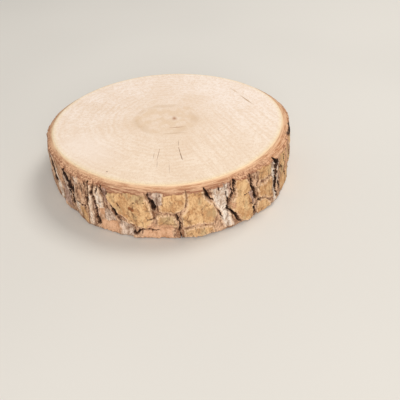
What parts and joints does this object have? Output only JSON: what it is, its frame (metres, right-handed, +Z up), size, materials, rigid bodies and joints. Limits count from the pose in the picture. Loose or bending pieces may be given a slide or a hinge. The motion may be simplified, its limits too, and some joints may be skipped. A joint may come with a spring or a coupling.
{
  "type": "wood slice",
  "caption": "Round slice of a branch with flat sanded end grain above and below, a chamfered rim and cracked, scaly bark round the edge.",
  "frame": {"origin": "middle of the underside, centre of the bounding box there", "axes": "+Z up through the slice's thickness, along the grain; -Y is the side seen from the front"},
  "size_m": [0.0942, 0.0944, 0.0195],
  "materials": {
    "wood": "dry sanded end grain, pale cream",
    "bark": "rough dry bark, ochre to grey, dark in its cracks"
  },
  "bodies": {
    "root": {"wood_slice": "wood"}
  },
  "joints": []
}
